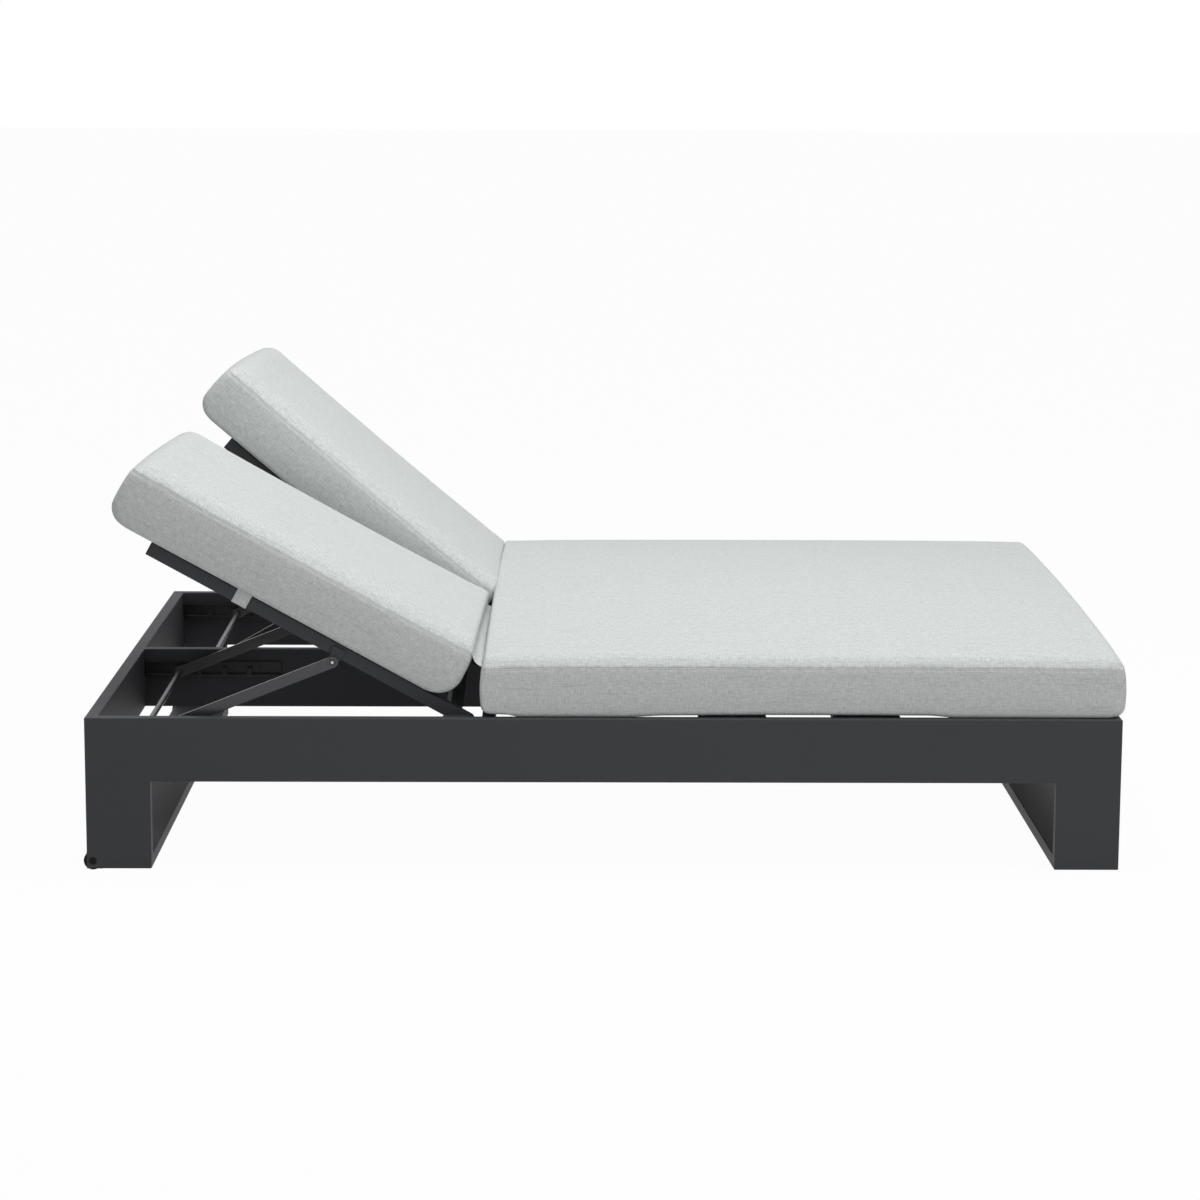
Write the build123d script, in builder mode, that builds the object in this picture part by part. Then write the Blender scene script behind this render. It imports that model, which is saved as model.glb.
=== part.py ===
from build123d import *
import os
from math import cos, radians, sin, sqrt

# Double chaise lounger, in millimetres.
# A flat box-tube frame stands on a closed loop leg at each end. Two backrests lie side by side in
# two bays at the head end. Each hinges near the middle of the frame and leans on its own swinging
# prop, whose cross rod stops against the teeth of two racks. Two small wheels sit in the head legs.
# X runs from the head end to the foot end, Y from the sitter's right to the left, Z up.
# The origin is on the floor, under the middle of the whole lounger.

# Frame
frame_length = 2000.0
frame_width = 1500.0
frame_height = 300.0
beam_depth = 125.0
beam_thick = 25.0
leg_width = 125.0
runner_thick = 25.0
tube_wall = 2.0

# Clearances and cuts
running_fit = 0.05
soft_gap = 0.3
overrun = 1.0

# Foot glides
glide_height = 3.0
glide_radius = 13.0
glide_stem_radius = 4.0
glide_stem_length = 8.0
glide_edge = 28.0

# Wheels and their axle bolts
wheel_radius = 18.0
wheel_proud = 6.5
wheel_slot_gap = 2.0
wheel_side_gap = 0.3
hub_radius = 12.5
axle_radius = 4.0
axle_head_radius = 7.5
axle_head_sink = 0.5
axle_head_thick = 3.0
axle_key_radius = 2.5
axle_key_depth = 1.8
axle_nut_size = 12.0
axle_nut_thick = 4.0

# Seat platform
slat_width = 130.0
slat_thick = 12.0
slat_wall = 1.5
slat_place_shares = (0.1695, 0.387, 0.606, 0.8)
cross_tube = 25.0
cross_tube_from_hinge = 28.0

# Backrests
hinge_from_head = 736.0
hinge_below_top = 15.0
right_angle = 28.8
left_angle = 40.4
backrest_length = 697.5
backrest_tube = 25.0
backrest_from_wall = 26.5
backrest_foot_rail = 20.0
backrest_slat_width = 90.0
backrest_slat_thick = 12.0
backrest_slat_place_shares = (0.172, 0.387, 0.602, 0.817)
cap_cover = 2.0
cap_insert = 12.0

# Hinge plates and pins
hinge_plate_thick = 4.0
hinge_plate_proud = 2.0
hinge_plate_head_reach = 60.0
hinge_plate_foot_reach = 22.0
hinge_plate_drop = 24.0
hinge_plate_slope = 14.0
pin_radius = 5.0
pin_shoulder_radius = 9.0
pin_head_thick = 3.0

# Props
prop_pivot_along = 285.3
prop_pivot_below = 23.5
prop_length = 401.2
prop_width = 22.0
prop_thick = 5.0
prop_from_wall = 17.5
rod_radius = 6.0
rod_end_gap = 0.5
rod_below_top = 46.2
lug_width = 26.0
lug_round = 11.0
rivet_radius = 4.0
rivet_head_radius = 8.0
rivet_head_thick = 2.0

# Racks
rack_from_head_beam = 2.0
rack_length = 290.0
rack_height = 32.5
rack_web = 3.0
rack_reach = 12.0
rack_ledge = 6.2
rack_lip = 2.0
rack_lip_reach = 6.0
rack_tooth_count = 4
rack_tooth_pitch = 53.0
rack_tooth_width = 10.0
rack_tooth_height = 14.0
rack_first_stop = 101.8

# Screws of the racks and hinge plates
screw_radius = 2.0
screw_head_radius = 4.5
screw_head_thick = 2.2
plate_screw_edge = 12.0
rack_screw_edge = 45.0
rack_screw_drop = 14.0

# Cushions
cover_wall = 2.0
core_gap = 0.4
seat_cushion_overhang = 9.0
seat_cushion_side_inset = 12.5
seat_head_right = 765.0
seat_head_left = 792.0
seat_boxing = 93.0
seat_crown = 42.0
seat_bulge = 4.0
seat_tuck = 10.0
back_cushion_start = 48.0
back_cushion_overhang = 102.5
back_cushion_side_gap = 11.25
back_boxing = 104.0
back_crown = 28.0
back_bulge = 4.0
back_tuck = 20.0
corner_draw = 6.0
side_crown = 3.0
section_shares = (0.0, 0.02, 0.1, 0.28, 0.5, 0.72, 0.9, 0.98, 1.0)
crown_power = 4
draw_power = 24

# Straps and joining flaps of the back cushions
strap_along = 497.0
strap_width = 31.0
strap_thick = 1.5
flap_thick = 1.5
flap_gap = 0.8
right_flap_reach = 17.0
right_flap_drop = 5.0
left_flap_reach = 12.0
left_flap_drop = 2.0
flap_side_inset = 25.0

# Places worked out from the sizes above. Distances "from the head" start at the frame's head end.
head_x = -(frame_length + seat_cushion_overhang + seat_bulge - wheel_proud) / 2
half_width = frame_width / 2
bay_edge = half_width - beam_thick
bay_width = bay_edge - beam_thick / 2
rail_bottom = frame_height - beam_depth
slat_middle = frame_height - slat_thick / 2
hinge_x = head_x + hinge_from_head
hinge_z = frame_height - hinge_below_top
rod_z = frame_height - rod_below_top
pad_level = hinge_below_top + soft_gap
wheel_from_head = wheel_radius - wheel_proud

# Each bay: its name, which way it lies from the middle, and its backrest's angle, flap reach and drop
bays = (
    ("right", -1, right_angle, right_flap_reach, right_flap_drop),
    ("left", 1, left_angle, left_flap_reach, left_flap_drop),
)

os.makedirs("parts", exist_ok=True)


def save(piece, name):
    """Labels a finished piece and writes its file."""
    piece.part.label = name
    export_step(piece.part, f"parts/{name}.step")


def bay_walls(sign):
    """The two walls of a bay: name, place across the frame, and the way into the bay."""
    return (
        ("outer", sign * bay_edge, -sign),
        ("inner", sign * beam_thick / 2, sign),
    )


def frame_side(y):
    """A plane seen from the right: first the distance from the head, then the height."""
    return Plane(origin=(head_x, y, 0), x_dir=(1, 0, 0), z_dir=(0, -1, 0))


def across(x, y, z):
    """A plane that faces left, centred on a piece that runs across the frame."""
    return Plane(origin=(x, y, z), x_dir=(1, 0, 0), z_dir=(0, 1, 0))


def backrest_side(angle, y):
    """A plane in a backrest: first the distance up from its hinge, then above its rails' middle."""
    tilt = radians(angle)
    return Plane(origin=(hinge_x, y, hinge_z), x_dir=(-cos(tilt), 0, sin(tilt)), z_dir=(0, 1, 0))


def from_end(end, x):
    """A distance from the head, measured from the named end."""
    return x if end == "head" else frame_length - x


# Side rails, mitred onto the legs at both ends
rack_start = beam_thick + rack_from_head_beam
rack_base = rod_z - rod_radius - soft_gap - rack_ledge
rack_screw_z = rack_base + rack_height - rack_screw_drop
rack_spots = (
    (rack_start + rack_screw_edge, rack_screw_z),
    (rack_start + rack_length - rack_screw_edge, rack_screw_z),
)
plate_screw_z = hinge_z - hinge_plate_drop + plate_screw_edge
plate_spots = (
    (hinge_from_head - hinge_plate_head_reach + plate_screw_edge, plate_screw_z),
    (hinge_from_head - hinge_plate_head_reach / 2, plate_screw_z),
)
for side, sign in (("right", -1), ("left", 1)):
    with BuildPart() as side_rail:
        with BuildSketch(frame_side(sign * half_width)):
            Polygon(
                (0, frame_height),
                (frame_length, frame_height),
                (frame_length - leg_width, rail_bottom),
                (leg_width, rail_bottom),
                align=None,
            )
        extrude(amount=sign * beam_thick)
        middle_y = sign * (half_width - beam_thick / 2)
        middle_z = frame_height - beam_depth / 2
        with BuildSketch(Plane(origin=(head_x, middle_y, middle_z), x_dir=(0, 1, 0), z_dir=(1, 0, 0))):
            Rectangle(beam_thick - 2 * tube_wall, beam_depth - 2 * tube_wall)
        extrude(amount=frame_length, mode=Mode.SUBTRACT)
        with BuildSketch(frame_side(sign * bay_edge)):
            with Locations(*rack_spots, *plate_spots):
                Circle(screw_radius + running_fit)
        extrude(amount=-sign * tube_wall, mode=Mode.SUBTRACT)
    save(side_rail, f"{side}_side_rail")

# Head, foot and centre beams
for end in ("head", "foot"):
    with BuildPart() as end_beam:
        middle = from_end(end, beam_thick / 2)
        with BuildSketch(across(head_x + middle, -bay_edge, frame_height - beam_depth / 2)):
            Rectangle(beam_thick, beam_depth)
            Rectangle(beam_thick - 2 * tube_wall, beam_depth - 2 * tube_wall, mode=Mode.SUBTRACT)
        extrude(amount=2 * bay_edge)
    save(end_beam, f"{end}_beam")

with BuildPart() as centre_beam:
    start = (head_x + beam_thick, 0, frame_height - beam_depth / 2)
    with BuildSketch(Plane(origin=start, x_dir=(0, 1, 0), z_dir=(1, 0, 0))):
        Rectangle(beam_thick, beam_depth)
        Rectangle(beam_thick - 2 * tube_wall, beam_depth - 2 * tube_wall, mode=Mode.SUBTRACT)
    extrude(amount=frame_length - 2 * beam_thick)
    with BuildSketch(frame_side(0)):
        with Locations(*rack_spots, *plate_spots):
            Circle(screw_radius + running_fit)
    extrude(amount=beam_thick, both=True, mode=Mode.SUBTRACT)
save(centre_beam, "centre_beam")

# Leg posts, with a slot and axle holes for a wheel in the two at the head
slot_top = 2 * wheel_radius + wheel_slot_gap
slot_end = wheel_from_head + wheel_radius + wheel_slot_gap
for end in ("head", "foot"):
    for side, sign in (("right", -1), ("left", 1)):
        with BuildPart() as post:
            with BuildSketch(frame_side(sign * half_width)):
                Polygon(
                    (from_end(end, 0), frame_height),
                    (from_end(end, leg_width), rail_bottom),
                    (from_end(end, leg_width), glide_height),
                    (from_end(end, 0), glide_height),
                    align=None,
                )
            extrude(amount=sign * beam_thick)
            middle_x = head_x + from_end(end, leg_width / 2)
            middle_y = sign * (half_width - beam_thick / 2)
            with BuildSketch(Plane.XY.offset(glide_height + tube_wall)):
                with Locations((middle_x, middle_y)):
                    Rectangle(leg_width - 2 * tube_wall, beam_thick - 2 * tube_wall)
            extrude(amount=frame_height, mode=Mode.SUBTRACT)
            if end == "head":
                with BuildSketch(frame_side(sign * (half_width - tube_wall))):
                    Polygon(
                        (-overrun, slot_top),
                        (slot_end, slot_top),
                        (slot_end, glide_height - overrun),
                        (-overrun, glide_height - overrun),
                        align=None,
                    )
                extrude(amount=sign * (beam_thick - 2 * tube_wall), mode=Mode.SUBTRACT)
                with BuildSketch(frame_side(sign * half_width)):
                    with Locations((wheel_from_head, wheel_radius)):
                        Circle(axle_head_radius + running_fit)
                extrude(amount=sign * tube_wall, mode=Mode.SUBTRACT)
                with BuildSketch(frame_side(sign * bay_edge)):
                    with Locations((wheel_from_head, wheel_radius)):
                        Circle(axle_radius + running_fit)
                extrude(amount=-sign * tube_wall, mode=Mode.SUBTRACT)
        save(post, f"{end}_{side}_post")

# Floor runners that close the two leg loops
glide_x = head_x + from_end("foot", leg_width / 2)
glide_pitch_x = leg_width - 2 * glide_edge
glide_pitch_y = 2 * (bay_edge - glide_edge)
for end in ("head", "foot"):
    with BuildPart() as runner:
        middle = head_x + from_end(end, leg_width / 2)
        with BuildSketch(across(middle, -bay_edge, glide_height + runner_thick / 2)):
            Rectangle(leg_width, runner_thick)
            Rectangle(leg_width - 2 * tube_wall, runner_thick - 2 * tube_wall, mode=Mode.SUBTRACT)
        extrude(amount=2 * bay_edge)
        if end == "foot":
            with BuildSketch(Plane.XY.offset(glide_height)):
                with Locations((glide_x, 0)):
                    with GridLocations(glide_pitch_x, glide_pitch_y, 2, 2):
                        Circle(glide_stem_radius + running_fit)
            extrude(amount=tube_wall, mode=Mode.SUBTRACT)
    save(runner, f"{end}_runner")

# Plastic glides under the foot runner
with BuildPart() as foot_glides:
    with BuildSketch(Plane.XY):
        with Locations((glide_x, 0)):
            with GridLocations(glide_pitch_x, glide_pitch_y, 2, 2):
                Circle(glide_radius)
    extrude(amount=glide_height)
    with BuildSketch(Plane.XY.offset(glide_height)):
        with Locations((glide_x, 0)):
            with GridLocations(glide_pitch_x, glide_pitch_y, 2, 2):
                Circle(glide_stem_radius)
    extrude(amount=glide_stem_length)
save(foot_glides, "foot_glides")

# Axle bolts and their nuts. The bolt head sinks into the post's outer wall.
with BuildPart() as wheel_axles:
    for sign in (-1, 1):
        head_y = sign * (half_width - axle_head_sink)
        with BuildSketch(frame_side(head_y)):
            with Locations((wheel_from_head, wheel_radius)):
                Circle(axle_head_radius)
        extrude(amount=sign * axle_head_thick)
        with BuildSketch(frame_side(head_y)):
            with Locations((wheel_from_head, wheel_radius)):
                RegularPolygon(axle_key_radius, 6)
        extrude(amount=sign * axle_key_depth, mode=Mode.SUBTRACT)
        with BuildSketch(frame_side(head_y - sign * axle_head_thick)):
            with Locations((wheel_from_head, wheel_radius)):
                Circle(axle_radius)
        extrude(amount=sign * (beam_thick - axle_head_sink - axle_head_thick + axle_nut_thick))
        with BuildSketch(frame_side(sign * bay_edge)):
            with Locations((wheel_from_head, wheel_radius)):
                RegularPolygon(axle_nut_size / 2, 6, major_radius=False)
                Circle(axle_radius + running_fit, mode=Mode.SUBTRACT)
        extrude(amount=sign * axle_nut_thick)
save(wheel_axles, "wheel_axles")

# Wheels
wheel_outer_side = axle_head_sink + axle_head_thick + wheel_side_gap
wheel_width = beam_thick - tube_wall - wheel_side_gap - wheel_outer_side
for side, sign in (("right", -1), ("left", 1)):
    wheel_y = sign * (half_width - wheel_outer_side)
    with BuildPart() as hub:
        with BuildSketch(frame_side(wheel_y)):
            with Locations((wheel_from_head, wheel_radius)):
                Circle(hub_radius)
                Circle(axle_radius + running_fit, mode=Mode.SUBTRACT)
        extrude(amount=sign * wheel_width)
    save(hub, f"{side}_wheel_hub")

    with BuildPart() as tyre:
        with BuildSketch(frame_side(wheel_y)):
            with Locations((wheel_from_head, wheel_radius)):
                Circle(wheel_radius)
                Circle(hub_radius + running_fit, mode=Mode.SUBTRACT)
        extrude(amount=sign * wheel_width)
    save(tyre, f"{side}_wheel_tyre")

# Seat slats and the cross tubes behind the backrest hinges. The slats are spread over the platform,
# which runs from the cross tubes to the foot beam.
platform_start = hinge_from_head + cross_tube_from_hinge + cross_tube
platform_length = frame_length - beam_thick - platform_start
slat_spots = [(platform_start + share * platform_length, slat_middle) for share in slat_place_shares]
for side, sign in (("right", -1), ("left", 1)):
    with BuildPart() as seat_slats:
        with BuildSketch(frame_side(sign * beam_thick / 2)):
            with Locations(*slat_spots):
                Rectangle(slat_width, slat_thick)
                Rectangle(slat_width - 2 * slat_wall, slat_thick - 2 * slat_wall, mode=Mode.SUBTRACT)
        extrude(amount=-sign * bay_width)
    save(seat_slats, f"{side}_seat_slats")

with BuildPart() as seat_cross_tubes:
    spot = (platform_start - cross_tube / 2, frame_height - cross_tube / 2)
    for sign in (-1, 1):
        with BuildSketch(frame_side(sign * beam_thick / 2)):
            with Locations(spot):
                Rectangle(cross_tube, cross_tube)
                Rectangle(cross_tube - 2 * tube_wall, cross_tube - 2 * tube_wall, mode=Mode.SUBTRACT)
        extrude(amount=-sign * bay_width)
save(seat_cross_tubes, "seat_cross_tubes")

# Hinge plates on the bay walls, a little proud of the frame's top
plate_head = hinge_from_head - hinge_plate_head_reach
plate_foot = hinge_from_head + hinge_plate_foot_reach
plate_top = frame_height + hinge_plate_proud
for side, sign, *_ in bays:
    with BuildPart() as hinge_plates:
        for place, wall_y, inward in bay_walls(sign):
            with BuildSketch(frame_side(wall_y)):
                Polygon(
                    (plate_head, hinge_z - hinge_plate_drop),
                    (plate_foot, hinge_z - hinge_plate_drop),
                    (plate_foot, frame_height - hinge_plate_slope),
                    (hinge_from_head, plate_top),
                    (plate_head + hinge_plate_slope, plate_top),
                    (plate_head, frame_height - hinge_plate_slope),
                    align=None,
                )
                with Locations((hinge_from_head, hinge_z)):
                    Circle(pin_radius + running_fit, mode=Mode.SUBTRACT)
                with Locations(*plate_spots):
                    Circle(screw_radius + running_fit, mode=Mode.SUBTRACT)
            extrude(amount=-inward * hinge_plate_thick)
    save(hinge_plates, f"{side}_hinge_plates")

# Racks that stop the prop rods, one on each bay wall
rack_top = rack_base + rack_height
rack_end = rack_start + rack_length
ledge_top = rack_base + rack_ledge
tooth_middles = [
    rack_first_stop - rod_radius - rack_tooth_width / 2 + i * rack_tooth_pitch
    for i in range(rack_tooth_count)
]
tooth_spots = [(x, ledge_top + rack_tooth_height / 2) for x in tooth_middles]
rack_middle = (rack_start + rack_end) / 2
for side, sign, *_ in bays:
    for place, wall_y, inward in bay_walls(sign):
        with BuildPart() as rack:
            with BuildSketch(frame_side(wall_y)):
                with Locations((rack_middle, rack_base + rack_height / 2)):
                    Rectangle(rack_length, rack_height)
                with Locations(*rack_spots):
                    Circle(screw_radius + running_fit, mode=Mode.SUBTRACT)
            extrude(amount=-inward * rack_web)
            with BuildSketch(frame_side(wall_y)):
                with Locations((rack_middle, rack_base + rack_ledge / 2)):
                    Rectangle(rack_length, rack_ledge)
                with Locations(*tooth_spots):
                    Rectangle(rack_tooth_width, rack_tooth_height)
            extrude(amount=-inward * rack_reach)
            with BuildSketch(frame_side(wall_y)):
                with Locations((rack_middle, rack_top - rack_lip / 2)):
                    Rectangle(rack_length, rack_lip)
            extrude(amount=-inward * rack_lip_reach)
        save(rack, f"{side}_{place}_rack")

# Pan-head screws that hold the racks and hinge plates to the bay walls
with BuildPart() as bracket_screws:
    for side, sign, *_ in bays:
        for place, wall_y, inward in bay_walls(sign):
            for spots, grip in ((rack_spots, rack_web), (plate_spots, hinge_plate_thick)):
                with BuildSketch(frame_side(wall_y + inward * grip)):
                    with Locations(*spots):
                        Circle(screw_head_radius)
                extrude(amount=-inward * screw_head_thick)
                with BuildSketch(frame_side(wall_y + inward * grip)):
                    with Locations(*spots):
                        Circle(screw_radius)
                extrude(amount=inward * (grip + tube_wall))
save(bracket_screws, "bracket_screws")

# Backrest frames
half_tube = backrest_tube / 2
tube_bore = backrest_tube - 2 * tube_wall
bore_start = half_tube + tube_wall
frame_inside = backrest_from_wall + backrest_tube
cross_span = bay_width - 2 * frame_inside
slat_top = hinge_below_top
backrest_slat_spots = [
    (share * backrest_length, slat_top - backrest_slat_thick / 2)
    for share in backrest_slat_place_shares
]
lug_thick = backrest_from_wall - prop_from_wall - prop_thick - soft_gap
for side, sign, angle, *_ in bays:
    # Side rails, with a round end about the hinge
    for place, wall_y, inward in bay_walls(sign):
        with BuildPart() as rail:
            with BuildSketch(backrest_side(angle, wall_y + inward * backrest_from_wall)):
                with BuildLine():
                    Polyline(
                        (0, half_tube),
                        (backrest_length, half_tube),
                        (backrest_length, -half_tube),
                        (0, -half_tube),
                    )
                    ThreePointArc((0, -half_tube), (-half_tube, 0), (0, half_tube))
                make_face()
                Circle(pin_radius + running_fit, mode=Mode.SUBTRACT)
            extrude(amount=inward * backrest_tube)
            with BuildSketch(backrest_side(angle, wall_y + inward * (backrest_from_wall + tube_wall))):
                with Locations(((bore_start + backrest_length + overrun) / 2, 0)):
                    Rectangle(backrest_length + overrun - bore_start, tube_bore)
            extrude(amount=inward * tube_bore, mode=Mode.SUBTRACT)
        save(rail, f"{side}_backrest_{place}_rail")

    # Cross rails at the top and near the hinge
    cross_y = sign * (beam_thick / 2 + frame_inside)
    for name, along in (
        ("top", backrest_length - backrest_tube / 2),
        ("foot", backrest_foot_rail + backrest_tube / 2),
    ):
        with BuildPart() as cross_rail:
            with BuildSketch(backrest_side(angle, cross_y)):
                with Locations((along, 0)):
                    Rectangle(backrest_tube, backrest_tube)
                    Rectangle(tube_bore, tube_bore, mode=Mode.SUBTRACT)
            extrude(amount=sign * cross_span)
        save(cross_rail, f"{side}_backrest_{name}_rail")

    # Slats under the cushion
    with BuildPart() as slats:
        with BuildSketch(backrest_side(angle, cross_y)):
            with Locations(*backrest_slat_spots):
                Rectangle(backrest_slat_width, backrest_slat_thick)
                Rectangle(
                    backrest_slat_width - 2 * slat_wall,
                    backrest_slat_thick - 2 * slat_wall,
                    mode=Mode.SUBTRACT,
                )
        extrude(amount=sign * cross_span)
    save(slats, f"{side}_backrest_slats")

    # Plastic caps in the open ends of the side rails
    with BuildPart() as rail_caps:
        for place, wall_y, inward in bay_walls(sign):
            with BuildSketch(backrest_side(angle, wall_y + inward * backrest_from_wall)):
                with Locations((backrest_length + cap_cover / 2, 0)):
                    Rectangle(cap_cover, backrest_tube)
            extrude(amount=inward * backrest_tube)
            insert_gap = tube_wall + running_fit
            with BuildSketch(backrest_side(angle, wall_y + inward * (backrest_from_wall + insert_gap))):
                with Locations((backrest_length - cap_insert / 2, 0)):
                    Rectangle(cap_insert, tube_bore - 2 * running_fit)
            extrude(amount=inward * (tube_bore - 2 * running_fit))
    save(rail_caps, f"{side}_backrest_caps")

    # Lugs that carry the prop's pivots, welded to the outside of the side rails
    with BuildPart() as prop_lugs:
        for place, wall_y, inward in bay_walls(sign):
            with BuildSketch(backrest_side(angle, wall_y + inward * backrest_from_wall)):
                with Locations((prop_pivot_along, -prop_pivot_below)):
                    Circle(lug_round)
                with Locations((prop_pivot_along, -prop_pivot_below / 2)):
                    Rectangle(2 * lug_round, prop_pivot_below)
                with Locations((prop_pivot_along, 0)):
                    Rectangle(lug_width, backrest_tube / 2)
                with Locations((prop_pivot_along, -prop_pivot_below)):
                    Circle(rivet_radius + running_fit, mode=Mode.SUBTRACT)
            extrude(amount=-inward * lug_thick)
    save(prop_lugs, f"{side}_prop_lugs")

    # Hinge pins: the shoulder keeps the rail off the wall plate
    pin_tip = soft_gap
    shoulder_start = hinge_plate_thick + soft_gap
    with BuildPart() as hinge_pins:
        for place, wall_y, inward in bay_walls(sign):
            for start, stop, radius in (
                (pin_tip, frame_inside + pin_head_thick, pin_radius),
                (shoulder_start, backrest_from_wall, pin_shoulder_radius),
                (frame_inside, frame_inside + pin_head_thick, pin_shoulder_radius),
            ):
                with BuildSketch(backrest_side(angle, wall_y + inward * start)):
                    Circle(radius)
                extrude(amount=inward * (stop - start))
    save(hinge_pins, f"{side}_hinge_pins")

# Props: two flat arms, the rod across them and the rivets at their pivots
rod_start = rack_reach + rod_end_gap
rivet_inner = backrest_from_wall + soft_gap
for side, sign, angle, *_ in bays:
    tilt = radians(angle)
    pivot_x = hinge_x - prop_pivot_along * cos(tilt) - prop_pivot_below * sin(tilt)
    pivot_z = hinge_z + prop_pivot_along * sin(tilt) - prop_pivot_below * cos(tilt)
    drop = pivot_z - rod_z
    run = sqrt(prop_length**2 - drop**2)
    arm_direction = (-run, 0, -drop)

    with BuildPart() as prop_arms:
        for place, wall_y, inward in bay_walls(sign):
            pivot = (pivot_x, wall_y + inward * prop_from_wall, pivot_z)
            with BuildSketch(Plane(origin=pivot, x_dir=arm_direction, z_dir=(0, 1, 0))):
                with Locations((prop_length / 2, 0)):
                    SlotCenterToCenter(prop_length, prop_width)
                Circle(rivet_radius + running_fit, mode=Mode.SUBTRACT)
                with Locations((prop_length, 0)):
                    Circle(rod_radius + running_fit, mode=Mode.SUBTRACT)
            extrude(amount=inward * prop_thick)
    save(prop_arms, f"{side}_prop_arms")

    with BuildPart() as prop_rod:
        rod_y = sign * (beam_thick / 2 + rod_start)
        with BuildSketch(across(pivot_x - run, rod_y, rod_z)):
            Circle(rod_radius)
        extrude(amount=sign * (bay_width - 2 * rod_start))
    save(prop_rod, f"{side}_prop_rod")

    with BuildPart() as prop_rivets:
        for place, wall_y, inward in bay_walls(sign):
            for start, stop, radius in (
                (prop_from_wall - rivet_head_thick, prop_from_wall, rivet_head_radius),
                (prop_from_wall - rivet_head_thick, rivet_inner + rivet_head_thick, rivet_radius),
                (rivet_inner, rivet_inner + rivet_head_thick, rivet_head_radius),
            ):
                with BuildSketch(across(pivot_x, wall_y + inward * start, pivot_z)):
                    Circle(radius)
                extrude(amount=inward * (stop - start))
    save(prop_rivets, f"{side}_prop_rivets")


def cushion_form(plane_at, width, head, foot, boxing, crown, bulge, tuck, inset):
    """A boxed cushion: sections along its length, lofted across its width.

    plane_at gives a section's plane for a share of the width. head gives the two places where
    the head end starts, at share 0 and at share 1. The corners are drawn in a little. inset draws
    every face in by that much.
    """
    with BuildPart() as form:
        for share in section_shares:
            edge = abs(2 * share - 1)
            draw = inset + corner_draw * edge**draw_power
            start = head[0] + (head[1] - head[0]) * share + draw
            stop = foot - draw
            base = inset
            seam = boxing - inset
            top = seam + side_crown + (crown - side_crown) * (1 - edge**crown_power)
            bulge_height = (base + 2 * seam) / 3
            with BuildSketch(plane_at(share, width - 2 * inset)):
                with BuildLine():
                    Line((start + tuck, base), (stop - tuck, base))
                    ThreePointArc((stop - tuck, base), (stop + bulge, bulge_height), (stop, seam))
                    ThreePointArc((stop, seam), ((start + stop) / 2, top), (start, seam))
                    ThreePointArc((start, seam), (start - bulge, bulge_height), (start + tuck, base))
                make_face()
        loft()
    return form


def save_cushion(name, plane_at, width, head, foot, boxing, crown, bulge, tuck):
    """Writes a cushion's sewn cover and the foam core inside it."""
    sizes = (plane_at, width, head, foot, boxing, crown, bulge, tuck)
    outside = cushion_form(*sizes, 0)
    hollow = cushion_form(*sizes, cover_wall)
    with BuildPart() as cover:
        add(outside.part)
        add(hollow.part, mode=Mode.SUBTRACT)
    save(cover, f"{name}_cover")
    save(cushion_form(*sizes, cover_wall + core_gap), f"{name}_core")


# Seat cushion, one piece over both seats. Its head edge lies a little askew.
def seat_section(share, width):
    y = (share - 1 / 2) * width
    return Plane(
        origin=(head_x, y, frame_height + soft_gap), x_dir=(1, 0, 0), z_dir=(0, -1, 0)
    )


save_cushion(
    "seat_cushion",
    seat_section,
    frame_width - 2 * seat_cushion_side_inset,
    (seat_head_right, seat_head_left),
    frame_length + seat_cushion_overhang,
    seat_boxing,
    seat_crown,
    seat_bulge,
    seat_tuck,
)

# Back cushions, each with straps about the side rails and a flap towards the seat cushion
back_cushion_width = bay_width - 2 * back_cushion_side_gap
for side, sign, angle, flap_reach, flap_drop in bays:
    tilt = radians(angle)
    bay_middle = sign * (beam_thick + bay_width) / 2

    def back_section(share, width):
        y = bay_middle + (share - 1 / 2) * width
        return Plane(
            origin=(hinge_x + pad_level * sin(tilt), y, hinge_z + pad_level * cos(tilt)),
            x_dir=(-cos(tilt), 0, sin(tilt)),
            z_dir=(0, 1, 0),
        )

    save_cushion(
        f"{side}_back_cushion",
        back_section,
        back_cushion_width,
        (back_cushion_start, back_cushion_start),
        backrest_length + back_cushion_overhang,
        back_boxing,
        back_crown,
        back_bulge,
        back_tuck,
    )

    strap_low = -half_tube - soft_gap - strap_thick
    strap_side = soft_gap + strap_thick
    with BuildPart() as straps:
        for place, wall_y, inward in bay_walls(sign):
            for start, stop, low, high in (
                (-strap_side, -soft_gap, strap_low, pad_level),
                (-strap_side, backrest_tube + strap_side, strap_low, -half_tube - soft_gap),
                (backrest_tube + soft_gap, backrest_tube + strap_side, strap_low, 0),
            ):
                with BuildSketch(backrest_side(angle, wall_y + inward * (backrest_from_wall + start))):
                    with Locations((strap_along, (low + high) / 2)):
                        Rectangle(strap_width, high - low)
                extrude(amount=inward * (stop - start))
    save(straps, f"{side}_cushion_straps")

    flap_root = back_cushion_start
    flap_level = pad_level + back_boxing
    flap_start = bay_middle - back_cushion_width / 2 + flap_side_inset
    with BuildPart() as flap:
        with BuildSketch(backrest_side(angle, flap_start)):
            Polygon(
                (flap_root - flap_gap, flap_level),
                (flap_root - flap_gap, flap_level - flap_thick),
                (flap_root - flap_reach, flap_level - flap_drop - flap_thick),
                (flap_root - flap_reach, flap_level - flap_drop),
                align=None,
            )
        extrude(amount=back_cushion_width - 2 * flap_side_inset)
    save(flap, f"{side}_cushion_flap")
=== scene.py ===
from math import cos, pi, radians, sin

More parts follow.
